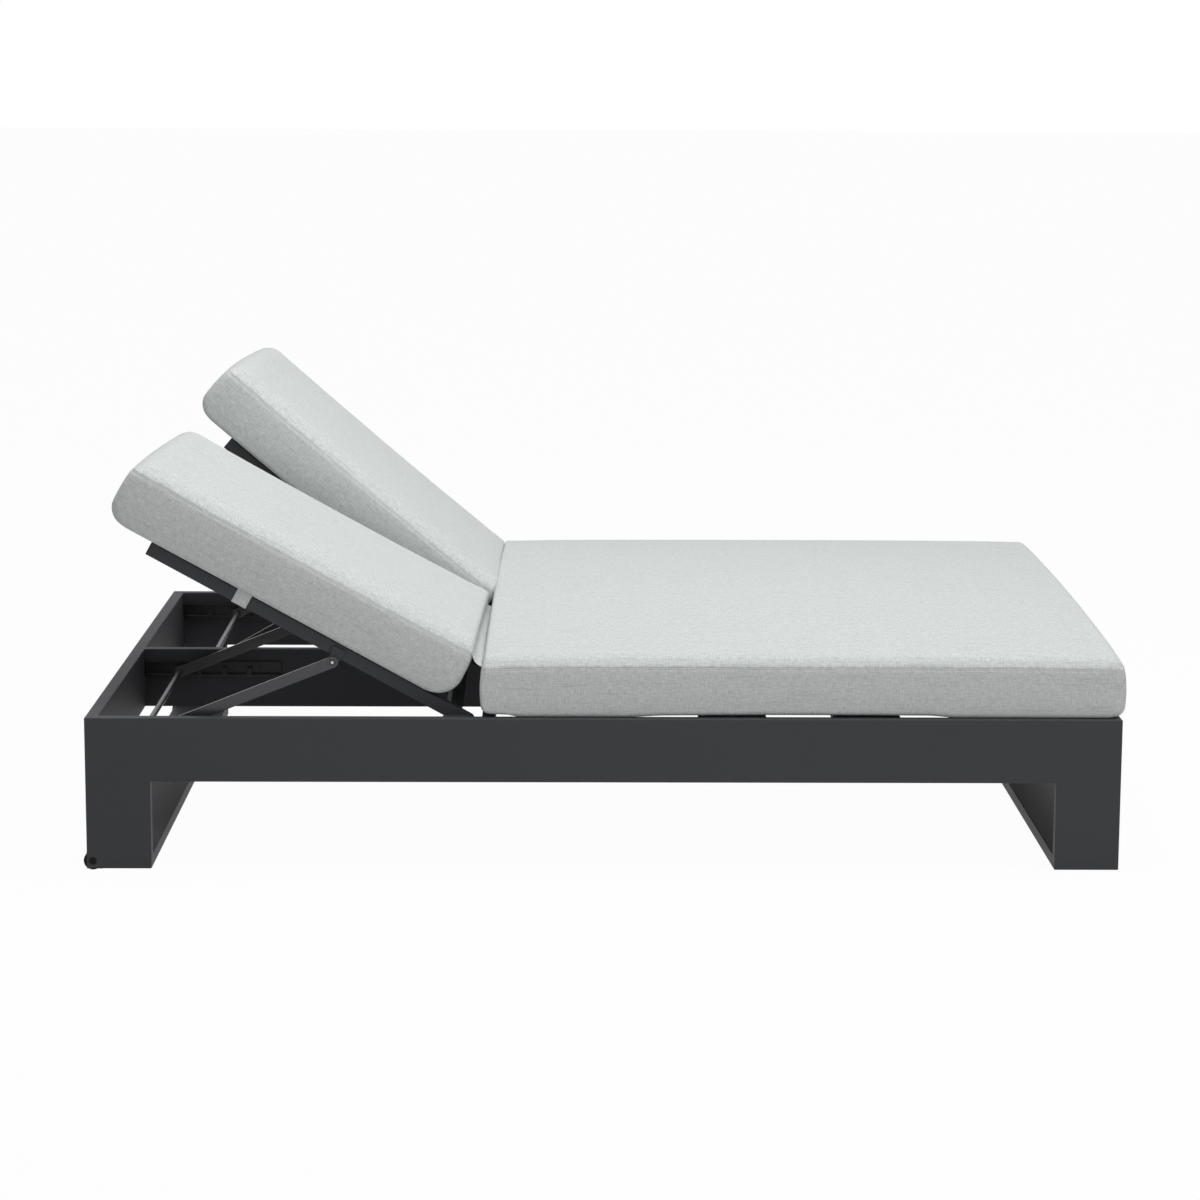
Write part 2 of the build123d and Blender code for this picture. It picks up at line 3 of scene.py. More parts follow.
import bpy
import numpy as np
from mathutils import Matrix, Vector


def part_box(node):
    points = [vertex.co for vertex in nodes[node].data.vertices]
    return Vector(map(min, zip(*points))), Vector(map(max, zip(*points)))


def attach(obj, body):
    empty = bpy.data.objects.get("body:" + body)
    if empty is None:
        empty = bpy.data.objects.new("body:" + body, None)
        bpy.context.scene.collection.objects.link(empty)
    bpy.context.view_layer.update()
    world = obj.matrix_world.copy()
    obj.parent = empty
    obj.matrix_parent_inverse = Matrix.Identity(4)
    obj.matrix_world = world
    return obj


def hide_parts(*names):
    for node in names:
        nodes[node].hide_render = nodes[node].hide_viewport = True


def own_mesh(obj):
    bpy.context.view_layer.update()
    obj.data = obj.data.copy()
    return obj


# Double chaise lounger. Lengths are in metres unless a name or comment says millimetres.
# X runs from the head end to the foot end, Y from the sitter's right to the left, Z up.

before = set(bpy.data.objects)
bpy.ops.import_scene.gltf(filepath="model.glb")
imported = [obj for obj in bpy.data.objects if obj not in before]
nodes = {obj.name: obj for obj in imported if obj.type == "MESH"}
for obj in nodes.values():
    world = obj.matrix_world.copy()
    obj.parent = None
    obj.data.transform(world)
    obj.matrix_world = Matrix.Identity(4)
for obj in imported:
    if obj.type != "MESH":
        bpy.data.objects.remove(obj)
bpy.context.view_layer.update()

MM = 0.001

# Places of the frame, as the solids have them
HEAD_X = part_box("head_beam")[0].x
FRAME_LENGTH = 2.0
HALF_WIDTH = 0.75
BAY_EDGE = 0.725
FRAME_TOP = 0.3
RAIL_BOTTOM = 0.175
BEAM = 0.025
LEG = 0.125
RUNNER_BASE = 0.003
RUNNER_TOP = 0.028
WALL = 0.002
WHEEL_SLOT_TOP = 0.038
WHEEL_SLOT_END = 0.0315
AXLE_FROM_HEAD = 0.0115
AXLE_HEIGHT = 0.018
BOLT_HOLE_RADIUS = 0.00755
HINGE_X = HEAD_X + 0.736
HINGE_Z = 0.285
BAY_MIDDLE = 0.36875
PAD_LEVEL = 0.0153
PIVOT_ALONG = 0.2853
PIVOT_UNDER = 0.0235
TILTS = {"right": radians(28.8), "left": radians(40.4)}
SIGNS = {"right": -1, "left": 1}


# Materials. Pattern scales are counts of a pattern's cells in a metre.

GRIT_PER_METRE = 400.0
PEEL_PER_METRE = 90.0
CLOUDS_PER_METRE = 3.0
STREAKS_ALONG = 70.0
STREAKS_ACROSS = 500.0
YARNS_ALONG = 9.0
YARNS_ACROSS = 260.0
STITCH_DEPTH = 4.5 * MM
STITCH_PITCH = 4 * MM
STITCH_SHARE = 0.7
THREAD_HALF_WIDTH = 0.45 * MM


def srgb(code):
    """A colour from its sRGB hex code, turned to linear light with the sRGB curve."""
    parts = np.array([int(code[i:i + 2], 16) for i in (1, 3, 5)]) / 255
    low = parts / 12.92
    high = ((parts + 0.055) / 1.055) ** 2.4
    return (*np.where(parts <= 0.04045, low, high), 1.0)


def add(tree, kind, settings=(), **links):
    """Adds a node. settings hold its properties and its inputs' values, links what joins them."""
    node = tree.nodes.new(kind)
    for name, value in dict(settings).items():
        if name in node.inputs.keys() or isinstance(name, int):
            node.inputs[name].default_value = value
        else:
            setattr(node, name, value)
    for name, socket in links.items():
        key = int(name[1:]) if name[1:].isdigit() else name.replace("_", " ")
        tree.links.new(socket, node.inputs[key])
    return node


def start_material(name, finish):
    """An empty material with a shader that has the given finish."""
    material = bpy.data.materials.new(name)
    material.use_nodes = True
    tree = material.node_tree
    tree.nodes.clear()
    shader = add(tree, "ShaderNodeBsdfPrincipled", finish)
    add(tree, "ShaderNodeOutputMaterial", Surface=shader.outputs["BSDF"])
    return material, tree, shader


def powder_coat(name, code, roughness, gleam):
    """Powder coat on aluminium tube, baked on: satin, with a faint orange peel and fine grit."""
    finish = {"Roughness": roughness, "IOR": 1.5, "Specular IOR Level": gleam}
    material, tree, shader = start_material(name, finish)
    place = add(tree, "ShaderNodeTexCoord").outputs["Object"]
    # Tube corners are rounded to 1.2 mm, which the solids leave out
    corner = add(tree, "ShaderNodeBevel", {"samples": 6, "Radius": 1.2 * MM})
    # Grit of 0.4 mm is under a pixel, so it is drawn 2.5 mm coarse
    grit = add(tree, "ShaderNodeTexNoise", {"Scale": GRIT_PER_METRE, "Detail": 2.0}, Vector=place)
    peel = add(tree, "ShaderNodeTexNoise", {"Scale": PEEL_PER_METRE, "Detail": 1.0}, Vector=place)
    cloud = add(
        tree, "ShaderNodeTexNoise", {"Scale": CLOUDS_PER_METRE, "Detail": 3.0}, Vector=place
    )
    tone = add(
        tree, "ShaderNodeMixRGB",
        {"Color1": srgb(code[0]), "Color2": srgb(code[1])}, Fac=cloud.outputs["Fac"],
    )
    tree.links.new(tone.outputs["Color"], shader.inputs["Base Color"])
    fine = add(
        tree, "ShaderNodeBump", {"Strength": 0.12, "Distance": 0.0002},
        Height=grit.outputs["Fac"], Normal=corner.outputs["Normal"],
    )
    coarse = add(
        tree, "ShaderNodeBump", {"Strength": 0.1, "Distance": 0.0006},
        Height=peel.outputs["Fac"], Normal=fine.outputs["Normal"],
    )
    tree.links.new(coarse.outputs["Normal"], shader.inputs["Normal"])
    return material


def woven_fabric(name, light, dark, slub):
    """Solution-dyed acrylic in a plain weave, melange yarn: matt, pale, with crossing slubs."""
    finish = {"Roughness": 0.88, "IOR": 1.45, "Specular IOR Level": 0.25}
    material, tree, shader = start_material(name, finish)
    shader.inputs["Sheen Weight"].default_value = 0.12
    shader.inputs["Sheen Roughness"].default_value = 0.5
    run = add(tree, "ShaderNodeUVMap", {"uv_map": "panel"}).outputs["UV"]
    # Yarn is 0.6 mm, under a pixel, so the melange is drawn in streaks 2 mm across and 14 mm long
    streaks = []
    for scale in ((STREAKS_ALONG, STREAKS_ACROSS, 1.0), (STREAKS_ACROSS, STREAKS_ALONG, 1.0)):
        turn = add(tree, "ShaderNodeMapping", {"Scale": scale}, Vector=run)
        noise = add(
            tree, "ShaderNodeTexNoise",
            {"noise_dimensions": "2D", "Scale": 1.0, "Detail": 2.0, "Roughness": 0.6},
            Vector=turn.outputs["Vector"],
        )
        streaks.append(noise.outputs["Fac"])
    both = add(tree, "ShaderNodeMath", {"operation": "ADD"}, _0=streaks[0], _1=streaks[1])
    melange = add(
        tree, "ShaderNodeMapRange", {"From Min": 0.72, "From Max": 1.28}, Value=both.outputs[0]
    )
    tone = add(
        tree, "ShaderNodeMixRGB", {"Color1": srgb(dark), "Color2": srgb(light)},
        Fac=melange.outputs["Result"],
    )
    # Thick yarns: rarer, fainter and longer
    wide = add(tree, "ShaderNodeMapping", {"Scale": (YARNS_ALONG, YARNS_ACROSS, 1.0)}, Vector=run)
    thick = add(
        tree, "ShaderNodeTexNoise", {"noise_dimensions": "2D", "Scale": 1.0, "Detail": 1.0},
        Vector=wide.outputs["Vector"],
    )
    rare = add(
        tree, "ShaderNodeMapRange", {"From Min": 0.62, "From Max": 0.75, "To Max": 0.35},
        Value=thick.outputs["Fac"],
    )
    yarn = add(
        tree, "ShaderNodeMixRGB", {"Color2": srgb(slub)},
        Fac=rare.outputs["Result"], Color1=tone.outputs["Color"],
    )
    # Thread of the seam: stitches 2.8 mm long every 4 mm, on the line that the seam draws in
    seam = add(tree, "ShaderNodeUVMap", {"uv_map": "stitch"}).outputs["UV"]
    seam = add(tree, "ShaderNodeSeparateXYZ", Vector=seam).outputs
    on_line = add(
        tree, "ShaderNodeMath", {"operation": "COMPARE", 1: STITCH_DEPTH, 2: THREAD_HALF_WIDTH},
        _0=seam["Y"],
    )
    pitch = add(tree, "ShaderNodeMath", {"operation": "DIVIDE", 1: STITCH_PITCH}, _0=seam["X"])
    pitch = add(tree, "ShaderNodeMath", {"operation": "FRACT"}, _0=pitch.outputs[0])
    dash = add(
        tree, "ShaderNodeMath", {"operation": "LESS_THAN", 1: STITCH_SHARE}, _0=pitch.outputs[0]
    )
    stitch = add(
        tree, "ShaderNodeMath", {"operation": "MULTIPLY"}, _0=on_line.outputs[0], _1=dash.outputs[0]
    )
    final = add(
        tree, "ShaderNodeMixRGB", {"Color2": srgb("#E4E6E5")},
        Fac=stitch.outputs[0], Color1=yarn.outputs["Color"],
    )
    tree.links.new(final.outputs["Color"], shader.inputs["Base Color"])
    weave = add(
        tree, "ShaderNodeBump", {"Strength": 0.22, "Distance": 0.0004}, Height=both.outputs[0]
    )
    tree.links.new(weave.outputs["Normal"], shader.inputs["Normal"])
    return material


def plain_finish(name, code, roughness, metallic=0.0, grain=60.0, gleam=0.5):
    """A moulded or metal finish with a faint grain in its tone and its surface."""
    finish = {"Roughness": roughness, "Metallic": metallic, "Specular IOR Level": gleam}
    material, tree, shader = start_material(name, finish)
    place = add(tree, "ShaderNodeTexCoord").outputs["Object"]
    noise = add(tree, "ShaderNodeTexNoise", {"Scale": grain, "Detail": 3.0}, Vector=place)
    tone = add(
        tree, "ShaderNodeMixRGB", {"Color1": srgb(code[0]), "Color2": srgb(code[1])},
        Fac=noise.outputs["Fac"],
    )
    tree.links.new(tone.outputs["Color"], shader.inputs["Base Color"])
    bump = add(
        tree, "ShaderNodeBump", {"Strength": 0.2, "Distance": 0.0002}, Height=noise.outputs["Fac"]
    )
    tree.links.new(bump.outputs["Normal"], shader.inputs["Normal"])
    return material


def rivet_finish(name, tilt):
    """A black washer with a painted highlight in its middle: near-white base colour standing in for
    the shine of the rivet's turned end.
    """
    material, tree, shader = start_material(name, {"Roughness": 0.4})
    # The white is a painted highlight, as matt colour rather than metal: full within 2.7 mm of the
    # pivot, fading to black by 3.1 mm
    highlight_white, black = srgb("#E9EAEA"), srgb("#161617")
    place = add(tree, "ShaderNodeTexCoord").outputs["Object"]
    pivot = (
        HINGE_X - PIVOT_ALONG * cos(tilt) - PIVOT_UNDER * sin(tilt), 0.0,
        HINGE_Z + PIVOT_ALONG * sin(tilt) - PIVOT_UNDER * cos(tilt),
    )
    level = add(tree, "ShaderNodeVectorMath", {"operation": "MULTIPLY", 1: (1, 0, 1)}, _0=place)
    way = add(
        tree, "ShaderNodeVectorMath", {"operation": "DISTANCE", 1: pivot}, _0=level.outputs[0]
    )
    washer = add(
        tree, "ShaderNodeMapRange", {"From Min": 2.7 * MM, "From Max": 3.1 * MM},
        Value=way.outputs["Value"],
    )
    # From 6.4 to 7.4 mm from the pivot outwards, up to 12 % of the same white lightens the colour
    rim = add(
        tree, "ShaderNodeMapRange", {"From Min": 6.4 * MM, "From Max": 7.4 * MM, "To Max": 0.12},
        Value=way.outputs["Value"],
    )
    tone = add(
        tree, "ShaderNodeMixRGB", {"Color1": highlight_white, "Color2": black},
        Fac=washer.outputs["Result"],
    )
    lightened_rim = add(
        tree, "ShaderNodeMixRGB", {"Color2": highlight_white},
        Fac=rim.outputs["Result"], Color1=tone.outputs["Color"],
    )
    tree.links.new(lightened_rim.outputs["Color"], shader.inputs["Base Color"])
    return material


# Charcoal coat of the tubes: satin, so that the long flat faces show no clear reflection
FRAME_COAT = powder_coat("charcoal_powder_coat", ("#404144", "#454649"), 0.58, 0.2)
# The prop's flat bars have a smoother coat, whose edges catch a thin line of light
PROP_COAT = powder_coat("charcoal_prop_coat", ("#37383B", "#3B3C3F"), 0.24, 0.6)
# Racks are coated black, so that their teeth are only just seen in the shade of the bay
RACK_COAT = powder_coat("black_rack_coat", ("#161617", "#1C1C1E"), 0.35, 0.3)
# Each rivet's middle carries a painted highlight in its base colour
RIVETS = {side: rivet_finish(f"{side}_rivet_and_washer", TILTS[side]) for side in SIGNS}
COVER = woven_fabric("melange_acrylic_weave", "#DCDFDE", "#BFC4C2", "#AEB4B2")
# Moulded nylon with a fine spark-eroded grain: black, half matt
BLACK_PLASTIC = plain_finish("moulded_black_polyamide", ("#141415", "#1C1C1E"), 0.5, gleam=0.25)
# Moulded rubber: black and matt, with next to no gloss
WHEEL_RUBBER = plain_finish("moulded_wheel_rubber", ("#161617", "#1E1E1F"), 0.75, gleam=0.2)
# Drawn steel rod, brushed along: a soft grey shine with a light line down its side
GREY_ROD = plain_finish("satin_grey_steel_rod", ("#5E5F61", "#6E6F71"), 0.38, 1.0, 300.0)
# Blackened steel, oiled: its oxide hides the metal and leaves a dull black
DARK_BOLT = plain_finish("blackened_steel_screw", ("#0E0E0F", "#161617"), 0.42, 0.0, 200.0, 0.15)


# Meshes

PLANE_DIGITS = 6
FLAT_SUM = 1.9


def quads(grid):
    """The four corners of every cell of a grid, in turning order."""
    corners = (grid[:-1, :-1], grid[1:, :-1], grid[1:, 1:], grid[:-1, 1:])
    return np.stack(corners, axis=2).reshape(-1, 4, *grid.shape[2:])


def unstitched(faces):
    """Stitch coordinates for the corners of faces that no seam crosses: far off its line."""
    return np.full((len(faces), 4, 2), -1.0)


def make_piece(name, points, faces, material, uv=None, smooth=True):
    """A mesh object from arrays of points, four-cornered faces and named corner coordinates."""
    mesh = bpy.data.meshes.new(name)
    mesh.vertices.add(len(points))
    mesh.vertices.foreach_set("co", np.ascontiguousarray(points, dtype=np.float32).ravel())
    mesh.loops.add(faces.size)
    mesh.loops.foreach_set("vertex_index", np.ascontiguousarray(faces, dtype=np.int32).ravel())
    mesh.polygons.add(len(faces))
    mesh.polygons.foreach_set("loop_start", np.arange(0, faces.size, 4, dtype=np.int32))
    mesh.polygons.foreach_set("use_smooth", np.full(len(faces), smooth))
    for layer, values in (uv or {}).items():
        mesh.uv_layers.new(name=layer).data.foreach_set(
            "uv", np.ascontiguousarray(values, dtype=np.float32).ravel()
        )
    mesh.update(calc_edges=True)
    mesh.validate()
    mesh.materials.append(material)
    piece = bpy.data.objects.new(name, mesh)
    bpy.context.scene.collection.objects.link(piece)
    return piece


def box_union(boxes, voids):
    """Points and faces of the union of upright boxes, less some voids.

    Every box edge gives a grid plane. A cell is full where its middle lies in a box and in no
    void, and a face is drawn wherever a full cell meets an empty one.
    """
    edges = np.array(boxes + voids)
    lines = [
        np.unique(edges[:, 2 * axis:2 * axis + 2].round(PLANE_DIGITS)) for axis in range(3)
    ]
    middles = np.meshgrid(*[(line[1:] + line[:-1]) / 2 for line in lines], indexing="ij")

    def inside(box):
        return np.logical_and.reduce([
            (middles[axis] > box[2 * axis]) & (middles[axis] < box[2 * axis + 1])
            for axis in range(3)
        ])

    full = np.logical_or.reduce([inside(box) for box in boxes])
    full &= ~np.logical_or.reduce([inside(void) for void in voids])
    full = np.pad(full, 1)
    corners = np.stack(np.meshgrid(*lines, indexing="ij"), axis=-1)
    number = np.arange(corners[..., 0].size).reshape(corners.shape[:3])
    faces = []
    for axis in range(3):
        turned = np.moveaxis(full, axis, 0)
        numbers = np.moveaxis(number, axis, 0)
        before, after = turned[:-1, 1:-1, 1:-1], turned[1:, 1:-1, 1:-1]
        cell = np.stack(
            [numbers[:, :-1, :-1], numbers[:, 1:, :-1], numbers[:, 1:, 1:], numbers[:, :-1, 1:]],
            axis=-1,
        )
        turn = -1 if axis == 1 else 1
        faces.append(cell[before & ~after][:, ::turn])
        faces.append(cell[~before & after][:, ::-turn])
    faces = np.concatenate(faces)
    used, renumbered = np.unique(faces, return_inverse=True)
    return corners.reshape(-1, 3)[used], renumbered.reshape(-1, 4)


def apply_modifiers(piece):
    """Puts the result of a piece's modifiers into its mesh."""
    graph = bpy.context.evaluated_depsgraph_get()
    finished = bpy.data.meshes.new_from_object(piece.evaluated_get(graph))
    piece.modifiers.clear()
    piece.data = finished


def weigh_edges(mesh, weight):
    """Gives each sharp edge the bevel weight that weight(middles of edges) says.

    An edge is sharp where the unit normals of its two faces add up to less than two.
    """
    points = np.zeros(3 * len(mesh.vertices))
    mesh.vertices.foreach_get("co", points)
    ends = np.zeros(2 * len(mesh.edges), dtype=np.int32)
    mesh.edges.foreach_get("vertices", ends)
    normals = np.zeros(3 * len(mesh.polygons))
    mesh.polygons.foreach_get("normal", normals)
    edge_of_corner = np.zeros(len(mesh.loops), dtype=np.int32)
    mesh.loops.foreach_get("edge_index", edge_of_corner)
    total = np.zeros((len(mesh.edges), 3))
    np.add.at(total, edge_of_corner, np.repeat(normals.reshape(-1, 3), 4, axis=0))
    sharp = np.linalg.norm(total, axis=1) < FLAT_SUM
    middles = points.reshape(-1, 3)[ends.reshape(-1, 2)].mean(axis=1)
    layer = mesh.attributes.new("bevel_weight_edge", "FLOAT", "EDGE")
    layer.data.foreach_set("value", (sharp * weight(middles)).astype(np.float32))


# Welded frame: tube corners are ground flush and coated, so no joint shows

TUBE_ROUNDING = 1.6 * MM
HOLE_SIDES = 40
HOLE_OVERRUN = 0.5 * MM


def bolt_hole(sign):
    """A cutter for one axle bolt's hole: two rings of points, through a leg post's outer wall."""
    turn = np.linspace(0, 2 * pi, HOLE_SIDES, endpoint=False)
    circle = np.stack([np.cos(turn), np.sin(turn)], axis=1) * BOLT_HOLE_RADIUS
    depth = np.array([-WALL - HOLE_OVERRUN, WALL])
    rim = np.stack([
        np.broadcast_to(circle[:, 0], (2, HOLE_SIDES)),
        np.broadcast_to(depth[:, None], (2, HOLE_SIDES)),
        np.broadcast_to(circle[:, 1], (2, HOLE_SIDES)),
    ], axis=-1)
    number = np.arange(HOLE_SIDES)
    after = np.roll(number, -1)
    sides = np.stack([number + HOLE_SIDES, after + HOLE_SIDES, after, number], axis=1).tolist()
    caps = [number.tolist(), (number[::-1] + HOLE_SIDES).tolist()]
    mesh = bpy.data.meshes.new("bolt_hole")
    mesh.from_pydata(rim.reshape(-1, 3).tolist(), [], sides + caps)
    mesh.transform(Matrix.Translation((HEAD_X + AXLE_FROM_HEAD, sign * HALF_WIDTH, AXLE_HEIGHT)))
    cutter = bpy.data.objects.new("bolt_hole", mesh)
    bpy.context.scene.collection.objects.link(cutter)
    return cutter


def build_frame():
    """The frame's beams, legs and runners as one welded form with rounded edges."""
    boxes, voids = [], []
    length = (HEAD_X, HEAD_X + FRAME_LENGTH)
    across = (-BAY_EDGE, BAY_EDGE)
    for sign in (-1, 1):
        wall = tuple(sorted((sign * BAY_EDGE, sign * HALF_WIDTH)))
        boxes.append((*length, *wall, RAIL_BOTTOM, FRAME_TOP))
        for start in (length[0], length[1] - LEG):
            boxes.append((start, start + LEG, *wall, RUNNER_BASE, RAIL_BOTTOM))
        slot = tuple(sorted((sign * (BAY_EDGE + WALL), sign * (HALF_WIDTH - WALL))))
        voids.append((HEAD_X - BEAM, HEAD_X + WHEEL_SLOT_END, *slot, -BEAM, WHEEL_SLOT_TOP))
    for start in (length[0], length[1] - BEAM):
        boxes.append((start, start + BEAM, *across, RAIL_BOTTOM, FRAME_TOP))
    for start in (length[0], length[1] - LEG):
        boxes.append((start, start + LEG, *across, RUNNER_BASE, RUNNER_TOP))
    boxes.append((length[0] + BEAM, length[1] - BEAM, -BEAM / 2, BEAM / 2, RAIL_BOTTOM, FRAME_TOP))
    points, faces = box_union(boxes, voids)
    piece = make_piece("welded_frame", points, faces, FRAME_COAT, smooth=False)

    def away_from_slots(middles):
        near = middles[:, 0] < HEAD_X + WHEEL_SLOT_END + WALL
        low = middles[:, 2] < WHEEL_SLOT_TOP + WALL
        wall = np.abs(middles[:, 1]) > BAY_EDGE - WALL
        return ~(near & low & wall)

    weigh_edges(piece.data, away_from_slots)
    bevel = piece.modifiers.new("rounded_tube_edges", "BEVEL")
    bevel.limit_method = "WEIGHT"
    bevel.width = TUBE_ROUNDING
    bevel.segments = 3
    bevel.harden_normals = False
    cutters = [bolt_hole(sign) for sign in (-1, 1)]
    for cutter in cutters:
        hole = piece.modifiers.new("bolt_hole", "BOOLEAN")
        hole.object = cutter
        hole.solver = "EXACT"
    apply_modifiers(piece)
    for cutter in cutters:
        bpy.data.objects.remove(cutter)
    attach(piece, "frame")
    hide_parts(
        "right_side_rail", "left_side_rail", "centre_beam", "head_beam", "foot_beam",
        "head_right_post", "head_left_post", "foot_right_post", "foot_left_post",
        "head_runner", "foot_runner",
    )


# Cushions

# Grids: turns of a shoulder in degrees, rows in millimetres above the base and below the seam.
# The trial rows and cells are those of the coarse cover that is blown up.
PROFILE_TURNS = (0, 1.5, 3, 5, 8, 12, 17, 23, 30, 38, 47, 57, 68, 79, 90)
BASE_ROWS = (0.0, 0.6, 2.5, 5.5, 9.6, 14.5, 20.0, 27.0, 35.0)
SEAM_ROWS = (18.0, 13.0, 9.5, 7.0, 5.6, 4.5, 3.4, 2.2, 1.0, 0.0)
PANEL_CELL = 10 * MM
BOXING_CELL = 9 * MM
TRIAL_TURNS = (0, 22, 45, 68, 90)
TRIAL_ROWS = (0.0, 12.0, 30.0)
TRIAL_SEAM_ROWS = (14.0, 0.0)
TRIAL_CELL = 13 * MM
TRIAL_MOMENTS = 20
WRAP = 4

# Waves: how many seeded values there are, and where they start
WAVE_VALUES = 512
WAVE_START = 17

# Seams and puckers: how deep and wide a seam draws in, and each wave's step and reach
STITCH_SINK = 0.6 * MM
STITCH_SINK_WIDTH = 0.9 * MM
TOP_PINCH_REACH = 0.12 * MM
SIDE_PINCH_REACH = 1.2 * MM
SEAM_HOLD = 1 * MM
ROLL_DEPTH = 14 * MM
TOP_PUCKER_STEP = 11 * MM
TOP_PUCKER_REACH = 16 * MM
SIDE_PUCKER_STEP = 12 * MM
SIDE_PUCKER_REACH = 14 * MM
BASE_RIPPLE_STEP = 26 * MM
BASE_RIPPLE_REACH = 22 * MM
BASE_RIPPLE_SHARE = 0.8
SWELL_POWER = 0.8

# How far a lifted corner and a lifted base edge reach into the cushion
CORNER_REACH = 90 * MM
BASE_LIFT_REACH = 60 * MM
NO_LENGTH = 1e-9


def panel_lines(length, cell, shoulders, turns):
    """Grid lines along a panel edge, as shares of it: even, but closer on both shoulders.

    On a shoulder they stand at its width times one less the cosine of each turn.
    """
    first, last = (width * (1 - np.cos(np.radians(turns))) for width in shoulders)
    flat = length - first[-1] - last[-1]
    inner = np.linspace(first[-1], length - last[-1], round(flat / cell) + 1)
    return np.concatenate([first[:-1], inner, length - last[-2::-1]]) / length


def rows_of_boxing(height, cell, base_rows, seam_rows):
    """Heights of the grid rows round a cushion's side: close at the base and at the seam."""
    low = np.array(base_rows) * MM
    high = height - np.array(seam_rows) * MM
    count = max(2, round((high[0] - low[-1]) / cell) + 1)
    return np.concatenate([low[:-1], np.linspace(low[-1], high[0], count), high[1:]])


def shoulder(distance, width, first_turn=0.0):
    """Rises from 0 at a seam to 1 at width from it, on an ellipse from a first turn to its top."""
    left = (1 - np.clip(distance / width, 0, 1)) * cos(first_turn)
    return (np.sqrt(1 - left**2) - sin(first_turn)) / (1 - sin(first_turn))


def ridge(distance, place, width):
    """A smooth bump of height 1 at place: e to minus the square of the way there over the width."""
    return np.exp(-(((distance - place) / width) ** 2))


def waver(run, step, seed):
    """A smooth irregular wave: seeded values from -1 to 1 every step, joined by cosine curves."""
    values = np.random.default_rng(seed).uniform(-1, 1, WAVE_VALUES)
    place = np.asarray(run) / step + WAVE_START
    whole = np.floor(place).astype(int)
    share = (1 - np.cos(pi * (place - whole))) / 2
    before, after = values[whole % WAVE_VALUES], values[(whole + 1) % WAVE_VALUES]
    return before * (1 - share) + after * share


def plan_place(form, a, b, start_inset, stop_inset, side_inset):
    """Places in plan for shares a along and b across, with bowed ends and rounded corners.

    An end's corners fall back by the bow, with the square of the distance from its middle, and
    the sides draw in between their corners. In each corner square the greater of the two insets
    from its centre is kept as a radius, which turns the square's outline to a quarter circle.
    """
    bows = [bow * (2 * b - 1) ** 2 for bow in form["bow"]]
    ends = [form[end][0] + (form[end][1] - form[end][0]) * b for end in ("start", "stop")]
    start = ends[0] + bows[0] + start_inset
    stop = ends[1] - bows[1] - stop_inset
    half = form["width"] / 2 - side_inset - form["side_draw"] * np.sin(pi * a)
    x = start + a * (stop - start)
    y = (2 * b - 1) * half
    r = np.where(a < 0.5, *form["corner"])
    to_end = np.minimum(x - start, stop - x)
    to_side = half - np.abs(y)
    p, q = np.maximum(r - to_end, 0), np.maximum(r - to_side, 0)
    keep = np.maximum(p, q) / np.maximum(np.hypot(p, q), NO_LENGTH)
    both = (p > 0) & (q > 0)
    x = np.where(both, x + np.where(x - start < stop - x, 1, -1) * p * (1 - keep), x)
    y = np.where(both, y - np.sign(y) * q * (1 - keep), y)
    return x, y, to_end, to_side


def ring(grid):
    """The outline of a grid, once round, without repeating its first place."""
    return np.concatenate([grid[:, 0], grid[-1, 1:], grid[-2::-1, -1], grid[0, -2:0:-1]])


